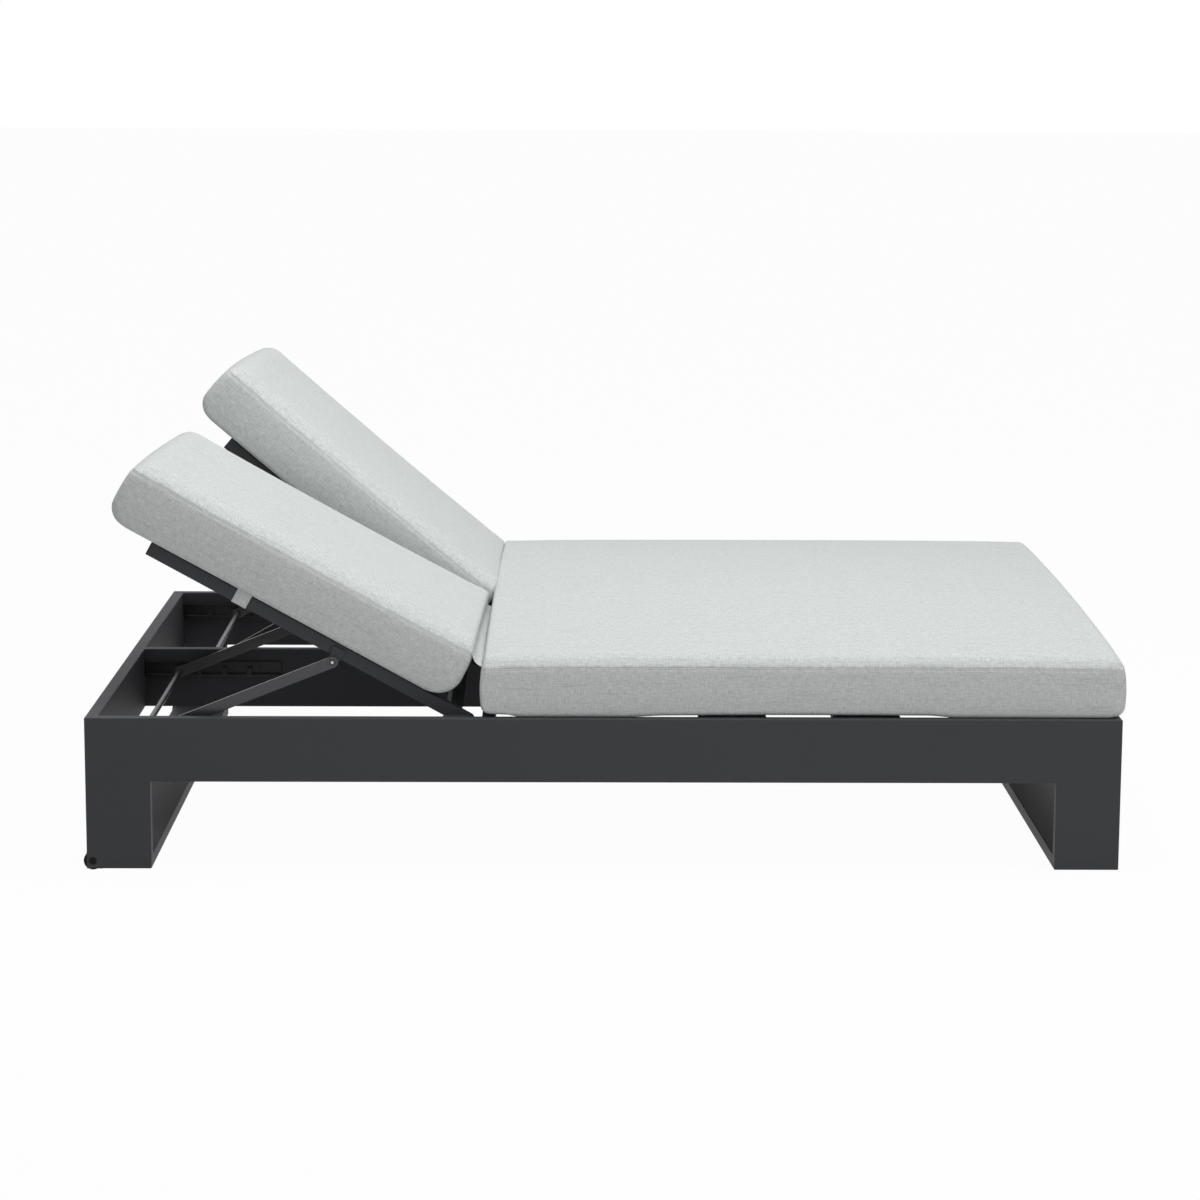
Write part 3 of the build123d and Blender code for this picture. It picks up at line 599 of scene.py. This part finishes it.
def cushion_points(form, along, across, rows):
    """Three grids of points of a boxed cushion, in its own frame: top, base and boxing.

    The top rises over an elliptic shoulder from its seam to a low dome. The shoulder's width and
    rise go from one value at the first side to another at the last, the rise with the cube of
    the share left. The boxing swells a little between its edges, rolls in towards the seam along
    a parabola, and turns under on a fillet. Both draw in at the seam, so that it lies in a fine
    groove, and pucker a little beside it. The base is flat, and its edge lifts where the form
    says so.
    """
    a, b = np.meshgrid(along, across, indexing="ij")
    x, y, to_end, to_side = plan_place(form, a, b, 0, 0, 0)
    near = np.minimum(to_end, to_side)
    pinch = form["roll"] + form["pinch"] * np.exp(-near / TOP_PINCH_REACH)
    x, y, to_end, to_side = plan_place(form, a, b, pinch, pinch, pinch)
    dome = (1 - (2 * a - 1) ** 2) * (1 - (2 * b - 1) ** 2)
    end_width = np.where(a < 0.5, *form["end_shoulder"])
    side_width = form["side_shoulder"][0] * (1 - b) + form["side_shoulder"][1] * b
    rise = shoulder(to_end, end_width, form["first_turn"])
    rise = rise * shoulder(to_side, side_width, form["first_turn"])
    first_rise, full_rise = form["rise"]
    rise = rise * (full_rise + (first_rise - full_rise) * (1 - b) ** 3)
    z = form["height"] + rise + form["dome"] * dome
    corner_way = np.hypot(to_end, to_side)
    z = z + form["corner_lift"] * np.exp(-corner_way / CORNER_REACH)
    sewn = form["seed"]
    pucker = waver(x, TOP_PUCKER_STEP, sewn) * np.exp(-to_side / TOP_PUCKER_REACH)
    pucker = pucker + waver(y, TOP_PUCKER_STEP, sewn + 1) * np.exp(-to_end / TOP_PUCKER_REACH)
    z = z + form["pucker"] * pucker * (1 - np.exp(-near / SEAM_HOLD))
    top = np.stack([x, y, z], axis=-1)

    def fillet(height, radius):
        left = np.maximum(radius - height, 0)
        return radius - np.sqrt(np.maximum(radius**2 - left**2, 0))

    bx, by, base_end, base_side = plan_place(
        form, a, b, form["start_fillet"], form["stop_fillet"], form["side_fillet"]
    )
    places, lifts = form["lifts"]
    edge_lift = np.interp(bx, places, np.array(lifts) * MM)
    inward = shoulder(base_side, BASE_LIFT_REACH) * shoulder(base_end, BASE_LIFT_REACH)
    base = np.stack([bx, by, edge_lift * (1 - inward)], axis=-1)

    ra, rb = ring(a), ring(b)
    step = np.hypot(*np.diff(ring(top)[:, :2], axis=0, prepend=ring(top)[-1:, :2]).T)
    run = np.cumsum(step)[None, :]
    h = rows[:, None]
    depth = form["height"] - h
    relief = -form["pinch"] * np.exp(-depth / SIDE_PINCH_REACH)
    relief = relief - form["roll"] * np.clip(1 - depth / ROLL_DEPTH, 0, 1) ** 2
    relief = relief - STITCH_SINK * ridge(depth, STITCH_DEPTH, STITCH_SINK_WIDTH)
    ripple = waver(run, SIDE_PUCKER_STEP, sewn + 2) * np.exp(-depth / SIDE_PUCKER_REACH)
    low_ripple = BASE_RIPPLE_SHARE * waver(run, BASE_RIPPLE_STEP, sewn + 3)
    ripple = ripple + low_ripple * np.exp(-h / BASE_RIPPLE_REACH)
    relief = relief + form["pucker"] * ripple * (1 - np.exp(-depth / SEAM_HOLD))
    share = h / form["height"]
    swell = np.sin(pi * share) ** SWELL_POWER
    sx, sy, *_ = plan_place(
        form, ra[None, :], rb[None, :],
        fillet(h, form["start_fillet"]) - form["end_bulge"] * swell - relief,
        fillet(h, form["stop_fillet"]) - form["end_bulge"] * swell - relief,
        fillet(h, form["side_fillet"]) - form["side_bulge"] * swell - relief,
    )
    rim = ring(top)[None, :, 2] - form["height"]
    sz = h + ring(base)[None, :, 2] * (1 - share) ** 2 + rim * share**2 + 0 * sx
    side = np.stack([sx, sy, sz], axis=-1)
    side[0], side[-1] = ring(base), ring(top)
    return top, base, side


def cushion_mesh(top, base, side):
    """Faces, points and corner coordinates that join a cushion's three grids at their edges."""
    count = top[..., 0].size
    top_number = np.arange(count).reshape(top.shape[:2])
    base_number = top_number + count
    inner = side[1:-1]
    inner_number = 2 * count + np.arange(inner[..., 0].size).reshape(inner.shape[:2])
    side_number = np.vstack([ring(base_number), inner_number, ring(top_number)])
    side_number = np.hstack([side_number, side_number[:, :1]]).T
    points = np.concatenate([top.reshape(-1, 3), base.reshape(-1, 3), inner.reshape(-1, 3)])
    faces = [quads(top_number), quads(base_number)[:, ::-1], quads(side_number)]
    step = np.linalg.norm(np.diff(side[-1], axis=0, append=side[-1][:1]), axis=1)
    run = np.concatenate([[0], np.cumsum(step)])
    height = side[:, :, 2].mean(axis=1)
    side_run = np.stack(np.meshgrid(run, height, indexing="ij"), axis=-1)
    panel = [quads(top[..., :2]), quads(base[..., :2])[:, ::-1], quads(side_run)]
    below = side_run * (1, -1) + (0, height[-1])
    stitch = [unstitched(faces[0]), unstitched(faces[1]), quads(below)]
    uv = {"panel": np.concatenate(panel), "stitch": np.concatenate(stitch)}
    return points, np.concatenate(faces), uv


def spline_weights(knots, places):
    """Weights that turn values at the knots into those at places, on a natural cubic spline.

    The second slopes at the knots solve the usual three-term equations, here for every knot's
    unit value at once.
    """
    count = len(knots)
    gap = np.diff(knots)
    inner = np.arange(1, count - 1)
    left, right, unit = np.eye(count), np.zeros((count, count)), np.eye(count)
    left[inner, inner - 1], left[inner, inner + 1] = gap[:-1], gap[1:]
    left[inner, inner] = 2 * (gap[:-1] + gap[1:])
    right[inner, inner - 1], right[inner, inner + 1] = 6 / gap[:-1], 6 / gap[1:]
    right[inner, inner] = -6 / gap[:-1] - 6 / gap[1:]
    bend = np.linalg.solve(left, right)
    k = np.clip(np.searchsorted(knots, places, side="right") - 1, 0, count - 2)
    g = gap[k][:, None]
    before, after = (places - knots[k])[:, None], (knots[k + 1] - places)[:, None]
    straight = (after * unit[k] + before * unit[k + 1]) / g
    first = (after**3 / g - g * after) / 6 * bend[k]
    last = (before**3 / g - g * before) / 6 * bend[k + 1]
    return straight + first + last


def ring_places(along, across):
    """Places of a grid's outline as one number from 0 to 4, a whole number at each corner."""
    return np.concatenate([along, 1 + across[1:], 3 - along[-2::-1], 4 - across[-2:0:-1]])


def cloth_trial(form, along, across, rows):
    """How far an inflated cover moves from its cut form, as grids for its top and its boxing.

    The cover is cut a little large and pinned at its seam and base. Blender's cloth blows it up
    without gravity, so that it fills and puckers between its pins. No point moves past the cap.
    """
    top, base, side = cushion_points(form, along, across, rows)
    points, faces, uv = cushion_mesh(top, base, side)
    cover = make_piece("trial_cover", points, faces, COVER, uv)
    count = top[..., 0].size
    seam = ring(np.arange(count).reshape(top.shape[:2]))
    sewn = np.concatenate([seam, np.arange(count, 2 * count)])
    cover.vertex_groups.new(name="sewn").add(sewn.tolist(), 1.0, "REPLACE")
    cloth = cover.modifiers.new("cloth", "CLOTH")
    settings = cloth.settings
    settings.quality = 5
    settings.mass = 0.3
    settings.tension_stiffness = settings.compression_stiffness = 60
    settings.shear_stiffness = 20
    settings.bending_stiffness = 6.0
    settings.vertex_group_mass = "sewn"
    settings.use_pressure = True
    settings.uniform_pressure_force = form["pressure"]
    settings.shrink_min = -form["ease"]
    settings.effector_weights.gravity = 0
    scene = bpy.context.scene
    for moment in range(1, TRIAL_MOMENTS + 1):
        scene.frame_set(moment)
    blown = cover.evaluated_get(bpy.context.evaluated_depsgraph_get()).data
    moved = np.zeros(3 * len(points), dtype=np.float32)
    blown.vertices.foreach_get("co", moved)
    moved = moved.reshape(-1, 3) - points
    scene.frame_set(1)
    bpy.data.objects.remove(cover)
    size = np.linalg.norm(moved, axis=1, keepdims=True)
    moved = moved * form["cap"] / (form["cap"] + size)
    inner = moved[2 * count:].reshape(len(rows) - 2, -1, 3)
    return moved[:count].reshape(top.shape), np.pad(inner, ((1, 1), (0, 0), (0, 0)))


def blow_up(form, top, side, lines, length):
    """Adds the trial cover's moves, from its own coarse grid, to a cushion's fine grids."""
    along, across, rows = lines
    coarse_along = panel_lines(length, TRIAL_CELL, form["end_shoulder"], TRIAL_TURNS)
    coarse_across = panel_lines(form["width"], TRIAL_CELL, form["side_shoulder"], TRIAL_TURNS)
    coarse_rows = rows_of_boxing(form["height"], TRIAL_CELL, TRIAL_ROWS, TRIAL_SEAM_ROWS)
    top_move, side_move = cloth_trial(form, coarse_along, coarse_across, coarse_rows)
    by_along = spline_weights(coarse_along, along)
    by_across = spline_weights(coarse_across, across)
    top = top + np.einsum("ia,abk,jb->ijk", by_along, top_move, by_across)
    places = ring_places(coarse_along, coarse_across)
    # Four sides make one turn, and a few places before and after it close the spline
    wrapped = np.concatenate([places[-WRAP:] - 4, places, places[:WRAP] + 4])
    repeat = np.arange(-WRAP, len(places) + WRAP) % len(places)
    by_run = spline_weights(wrapped, ring_places(along, across))
    by_row = spline_weights(coarse_rows, rows)
    side = side + np.einsum("ir,rpk,jp->ijk", by_row, side_move[:, repeat], by_run)
    return top, side


def to_place(points, origin, axes):
    """Points in a piece's own frame, put into the shared frame."""
    return np.array(origin) + points @ np.array(axes)


def build_cushion(name, form, origin, axes, body, cad_names):
    """A boxed cushion of one form, put in its place, with the folds of its trial cover."""
    length = form["stop"][0] - form["start"][0]
    along = panel_lines(length, PANEL_CELL, form["end_shoulder"], PROFILE_TURNS)
    across = panel_lines(form["width"], PANEL_CELL, form["side_shoulder"], PROFILE_TURNS)
    rows = rows_of_boxing(form["height"], BOXING_CELL, BASE_ROWS, SEAM_ROWS)
    top, base, side = cushion_points(form, along, across, rows)
    top, side = blow_up(form, top, side, (along, across, rows), length)
    points, faces, uv = cushion_mesh(top, base, side)
    piece = make_piece(name, to_place(points, origin, axes), faces, COVER, uv)
    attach(piece, body)
    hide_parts(*cad_names)
    return piece


SEAT_GAP = 0.3 * MM

# Forms. A pair holds the value at the first end or side and the one at the last. An end's own
# pair, start or stop, holds its places at the first side and at the last.

# The seat cushion lies a little askew, and its near edge lifts where light shows under it. The
# lifts are places along it and millimetres.
SEAT_FORM = {
    "start": (0.7605, 0.778), "stop": (2.0104, 2.0254), "width": 1.475, "height": 0.098,
    "corner": (0.008, 0.02), "bow": (0.003, 0.0048), "side_draw": 0.002,
    "rise": (0.022, 0.037), "dome": 0.013, "corner_lift": -0.004,
    "end_shoulder": (0.009, 0.024), "side_shoulder": (0.034, 0.052), "first_turn": radians(6),
    "start_fillet": 0.015, "stop_fillet": 0.02, "side_fillet": 0.006,
    "end_bulge": 0.004, "side_bulge": 0.0005,
    "pinch": 0.6 * MM, "roll": 0.0004, "pucker": 0.5 * MM, "seed": 3,
    "pressure": 2.0, "ease": 0.0008, "cap": 1.2 * MM,
    "lifts": (
        (0.765, 0.82, 0.83, 1.06, 1.11, 1.2, 1.3, 1.44, 1.63, 1.67, 2.01),
        (6.0, 5.0, 0.3, 0.3, 3.5, 4.5, 5.5, 5.5, 5.0, 0.3, 0.3),
    ),
}
# The back cushions lie a little askew too, at both ends
BACK_FORM = {
    "stop": (0.7844, 0.8044), "width": 0.688, "height": 0.104,
    "corner": (0.012, 0.02), "bow": (0.0, 0.006), "side_draw": 0.002,
    "rise": (0.0236, 0.0236), "dome": 0.001, "corner_lift": 0.004,
    "end_shoulder": (0.015, 0.039), "side_shoulder": (0.056, 0.056), "first_turn": radians(14),
    "start_fillet": 0.048, "stop_fillet": 0.035, "side_fillet": 0.008,
    "end_bulge": 0.004, "side_bulge": 0.003,
    "pinch": 0.3 * MM, "roll": 0.0018, "pucker": 0.5 * MM, "seed": 11,
    "pressure": 2.0, "ease": 0.0008, "cap": 1.5 * MM,
    "lifts": ((0.0, 1.0), (0.0, 0.0)),
}
BACK_STARTS = {"right": (0.036, 0.055), "left": (0.045, 0.053)}


# Straps and flaps

STRAP_SPAN = (0.4815, 0.5125)
STRAP_BASE = -13.7 * MM
STRAP_TOP = 16.5 * MM
STRAP_STRANDS = 13
STRAP_THICK = 1.2 * MM
STRAP_CLEARANCE = 1.05 * MM
SPANS_PER_POINT = 4
RAIL_FROM_WALL = 0.0265
RAIL = 0.025
# Round a rail, as ways in from its outer face, and heights above the hinge in the backrest's own
# frame: down from the cushion, under the rail and half way up its inner face
STRAP_PATH = (
    (-STRAP_CLEARANCE, STRAP_TOP),
    (-STRAP_CLEARANCE, 9 * MM),
    (-STRAP_CLEARANCE - 0.2 * MM, -2 * MM),
    (-STRAP_CLEARANCE, -10.5 * MM),
    (-STRAP_CLEARANCE + 0.9 * MM, STRAP_BASE + 0.35 * MM),
    (-STRAP_CLEARANCE + 3 * MM, STRAP_BASE),
    (RAIL / 2, STRAP_BASE - 0.1 * MM),
    (RAIL + STRAP_CLEARANCE - 3 * MM, STRAP_BASE),
    (RAIL + STRAP_CLEARANCE - 0.9 * MM, STRAP_BASE + 0.35 * MM),
    (RAIL + STRAP_CLEARANCE, -10.5 * MM),
    (RAIL + STRAP_CLEARANCE, -4 * MM),
    (RAIL + STRAP_CLEARANCE, 0.0),
)


def carried_band(path, across):
    """Two coordinates and the band's own coordinates of a path's smooth curve, carried across.

    A spline through the path's points, by their own run, gives the curve.
    """
    path = np.array(path)
    run = np.concatenate([[0], np.cumsum(np.linalg.norm(np.diff(path, axis=0), axis=1))])
    fine = np.linspace(0, run[-1], SPANS_PER_POINT * len(path) + 1)
    curve = spline_weights(run, fine) @ path
    band = np.stack(np.meshgrid(fine, across, indexing="ij"), axis=-1)
    first = np.broadcast_to(curve[:, :1], band.shape[:2])
    last = np.broadcast_to(curve[:, 1:], band.shape[:2])
    return first, last, band


def build_straps(side, sign, tilt):
    """Webbing from the cushion's base, down one face of a side rail, under it and up the other."""
    pieces, faces, layers = [], [], []
    across = np.linspace(*STRAP_SPAN, STRAP_STRANDS)
    for wall, inward in ((sign * BAY_EDGE, -sign), (sign * BEAM / 2, sign)):
        w, v, uv = carried_band(STRAP_PATH, across)
        u = np.broadcast_to(across, w.shape)
        y = wall + inward * (RAIL_FROM_WALL + w)
        x = HINGE_X - u * cos(tilt) + v * sin(tilt)
        z = HINGE_Z + u * sin(tilt) + v * cos(tilt)
        number = np.arange(x.size).reshape(x.shape) + sum(len(part) for part in pieces)
        turn = -1 if inward < 0 else 1
        pieces.append(np.stack([x, y, z], axis=-1).reshape(-1, 3))
        faces.append(quads(number)[:, ::turn])
        layers.append(quads(uv)[:, ::turn])
    faces = np.concatenate(faces)
    strap = make_piece(
        f"{side}_cushion_webbing", np.concatenate(pieces), faces, COVER,
        {"panel": np.concatenate(layers), "stitch": unstitched(faces)},
    )
    thick = strap.modifiers.new("webbing_thickness", "SOLIDIFY")
    thick.thickness = STRAP_THICK
    thick.offset = 0
    apply_modifiers(strap)
    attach(strap, f"{side}_back_cushion")
    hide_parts(f"{side}_cushion_straps")


FLAP_INSET = 0.004
FLAP_THICK = 1.1 * MM
FLAP_SAG = {"right": 4.5 * MM, "left": 0.8 * MM}
FLAP_STRANDS = 121
FLAP_ROWS = 15
FLAP_WAVE = 0.8 * MM
FLAP_WAVE_STEPS = (45 * MM, 15 * MM)
FLAP_WAVE_SEEDS = (23, 29)
FLAP_FINE_WAVE_SHARE = 0.6
# Where the flap's edges are sewn, off the seams' own lines: along the cushion, and down its side
BACK_HEM = (2.0 * MM, 1.2 * MM)
SEAT_HEM = (0.4 * MM, 1.0 * MM)


def head_seam(form, b):
    """Where a cushion's first end seam runs, from its own origin: along, and its height."""
    first, last = form["start"]
    to_side = form["width"] * np.minimum(b, 1 - b)
    lift = form["corner_lift"] * np.exp(-to_side / CORNER_REACH)
    return first + (last - first) * b + form["bow"][0] * (2 * b - 1) ** 2, form["height"] + lift


def build_flap(side, sign, tilt, back_form):
    """A strip of the cover's cloth from the back cushion's foot seam to the seat's head seam.

    Between the two seams it sags along a parabola and wavers a little.
    """
    half = back_form["width"] / 2 - FLAP_INSET
    over = np.linspace(-half, half, FLAP_STRANDS)
    y = sign * BAY_MIDDLE + over
    u, height = head_seam(back_form, 0.5 - over / back_form["width"])
    u, v = u + BACK_HEM[0], PAD_LEVEL + height - BACK_HEM[1]
    first = np.stack([
        HINGE_X - u * cos(tilt) + v * sin(tilt), HINGE_Z + u * sin(tilt) + v * cos(tilt),
    ])
    seat_x, seat_height = head_seam(SEAT_FORM, 0.5 + y / SEAT_FORM["width"])
    last = np.stack([HEAD_X + seat_x - SEAT_HEM[0], FRAME_TOP + seat_height - SEAT_HEM[1]])
    share = np.linspace(0, 1, FLAP_ROWS)[:, None]
    x, z = first[:, None] * (1 - share) + last[:, None] * share
    out = np.stack([first[1] - last[1], last[0] - first[0]])
    out = out / np.linalg.norm(out, axis=0)
    long_wave, fine_wave = (
        waver(over, step, seed) for step, seed in zip(FLAP_WAVE_STEPS, FLAP_WAVE_SEEDS)
    )
    wave = long_wave + FLAP_FINE_WAVE_SHARE * fine_wave
    bow = (FLAP_WAVE * wave - FLAP_SAG[side]) * 4 * share * (1 - share)
    points = np.stack([x + out[0] * bow, np.broadcast_to(y, x.shape), z + out[1] * bow], axis=-1)
    faces = quads(np.arange(x.size).reshape(x.shape))
    width = np.linalg.norm(last - first, axis=0).mean()
    cloth_run = np.stack(np.meshgrid(share[:, 0] * width, over, indexing="ij"), axis=-1)
    flap = make_piece(
        f"{side}_cushion_joining_flap", points.reshape(-1, 3), faces, COVER,
        {"panel": quads(cloth_run), "stitch": unstitched(faces)},
    )
    thick = flap.modifiers.new("cloth_thickness", "SOLIDIFY")
    thick.thickness = FLAP_THICK
    thick.offset = 0
    apply_modifiers(flap)
    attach(flap, f"{side}_back_cushion")
    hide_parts(f"{side}_cushion_flap")
    root = points[0, -1] - points[0, 0]
    root = root / np.linalg.norm(root)
    reach = (points[-1] - points[0]).mean(axis=0)
    reach = reach - reach @ root * root
    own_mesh(flap)


build_frame()
build_cushion(
    "seat_cushion", SEAT_FORM, (HEAD_X, 0, FRAME_TOP + SEAT_GAP),
    ((1, 0, 0), (0, 1, 0), (0, 0, 1)), "frame", ("seat_cushion_cover", "seat_cushion_core"),
)
for side, sign in SIGNS.items():
    tilt = TILTS[side]
    origin = (HINGE_X + PAD_LEVEL * sin(tilt), sign * BAY_MIDDLE, HINGE_Z + PAD_LEVEL * cos(tilt))
    axes = ((-cos(tilt), 0, sin(tilt)), (0, -1, 0), (sin(tilt), 0, cos(tilt)))
    back_form = {**BACK_FORM, "start": BACK_STARTS[side]}
    back = build_cushion(
        f"{side}_back_cushion", back_form, origin, axes, f"{side}_back_cushion",
        (f"{side}_back_cushion_cover", f"{side}_back_cushion_core"),
    )
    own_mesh(back)
    build_straps(side, sign, tilt)
    build_flap(side, sign, tilt, back_form)


# Finishes of the solids that stay

FINISHES = (
    ("wheel_tyre", WHEEL_RUBBER), ("wheel_hub", BLACK_PLASTIC), ("backrest_caps", BLACK_PLASTIC),
    ("foot_glides", BLACK_PLASTIC), ("prop_rod", GREY_ROD), ("prop_arms", PROP_COAT),
    ("rack", RACK_COAT),
    ("hinge_pins", DARK_BOLT), ("screws", DARK_BOLT), ("wheel_axles", DARK_BOLT),
    ("right_prop_rivets", RIVETS["right"]), ("left_prop_rivets", RIVETS["left"]),
    ("cushion", COVER),
)
for name, node in nodes.items():
    finish = next((kind for part, kind in FINISHES if part in name), FRAME_COAT)
    for slot in node.material_slots:
        slot.material = finish


# Camera, light and floor

SENSOR_WIDTH = 36.0
LENS = 98.21
CAMERA_PLACE = (-0.0973, -6.9235, 1.5669)
CAMERA_TURNS = (0.166, 0.01364, 0.00496)
AMBIENT = 0.3
LAMP_TARGET = (0, 0, 0.3)
FLOOR_WHITE_SHARE = 0.97
FLOOR_REACH = 60.0


def aim(tilt, yaw, roll):
    """A camera's turn: level along Y, then tilted down, turned and rolled, in radians."""
    return (
        Matrix.Rotation(-yaw, 4, "Z") @ Matrix.Rotation(pi / 2 - tilt, 4, "X")
        @ Matrix.Rotation(roll, 4, "Z")
    )


camera = bpy.data.objects.new("camera", bpy.data.cameras.new("camera"))
bpy.context.scene.collection.objects.link(camera)
camera.data.sensor_fit = "HORIZONTAL"
camera.data.sensor_width = SENSOR_WIDTH
camera.data.lens = LENS
camera.matrix_world = Matrix.Translation(CAMERA_PLACE) @ aim(*CAMERA_TURNS)
bpy.context.scene.camera = camera


def unseen_rays(tree):
    """1 for camera, glossy and transmission rays, which see the plain white background."""
    rays = add(tree, "ShaderNodeLightPath").outputs
    both = add(
        tree, "ShaderNodeMath", {"operation": "MAXIMUM"},
        _0=rays["Is Camera Ray"], _1=rays["Is Glossy Ray"],
    )
    return add(
        tree, "ShaderNodeMath", {"operation": "MAXIMUM"},
        _0=both.outputs[0], _1=rays["Is Transmission Ray"],
    ).outputs[0]


world = bpy.data.worlds.new("studio")
world.use_nodes = True
world.node_tree.nodes.clear()
level = add(
    world.node_tree, "ShaderNodeMapRange", {"To Min": AMBIENT, "To Max": 1.0},
    Value=unseen_rays(world.node_tree),
)
sky = add(
    world.node_tree, "ShaderNodeBackground", {"Color": (1, 1, 1, 1)},
    Strength=level.outputs["Result"],
)
add(world.node_tree, "ShaderNodeOutputWorld", Surface=sky.outputs["Background"])
bpy.context.scene.world = world

for name, place, size, power in (
    ("overhead_softbox", (0.4, -0.7, 4.2), 3.5, 141.0),
    ("front_softbox", (4.5, -5.0, 2.4), 3.0, 37.0),
):
    lamp = bpy.data.lights.new(name, "AREA")
    lamp.size = size
    lamp.energy = power
    box = bpy.data.objects.new(name, lamp)
    bpy.context.scene.collection.objects.link(box)
    box.location = place
    toward = Matrix.Translation(place).inverted() @ Matrix.Translation(LAMP_TARGET)
    box.rotation_mode = "QUATERNION"
    box.rotation_quaternion = toward.to_translation().to_track_quat("-Z", "Y")

floor_material = bpy.data.materials.new("white_studio_floor")
floor_material.use_nodes = True
tree = floor_material.node_tree
tree.nodes.clear()
matt = add(tree, "ShaderNodeBsdfDiffuse", {"Color": srgb("#DDDDDD")})
glow = add(tree, "ShaderNodeEmission", {"Color": (1, 1, 1, 1), "Strength": 1.0})
share = add(
    tree, "ShaderNodeMath", {"operation": "MULTIPLY", 1: FLOOR_WHITE_SHARE}, _0=unseen_rays(tree)
)
mixed = add(
    tree, "ShaderNodeMixShader",
    Fac=share.outputs[0], _1=matt.outputs["BSDF"], _2=glow.outputs["Emission"],
)
add(tree, "ShaderNodeOutputMaterial", Surface=mixed.outputs["Shader"])
spread = np.meshgrid((-FLOOR_REACH, FLOOR_REACH), (-FLOOR_REACH, FLOOR_REACH), indexing="ij")
floor_points = np.stack([*spread, np.zeros((2, 2))], axis=-1)
floor = make_piece(
    "floor", floor_points.reshape(-1, 3), quads(np.arange(4).reshape(2, 2)), floor_material,
    smooth=False,
)

bpy.context.scene.view_settings.view_transform = "Standard"
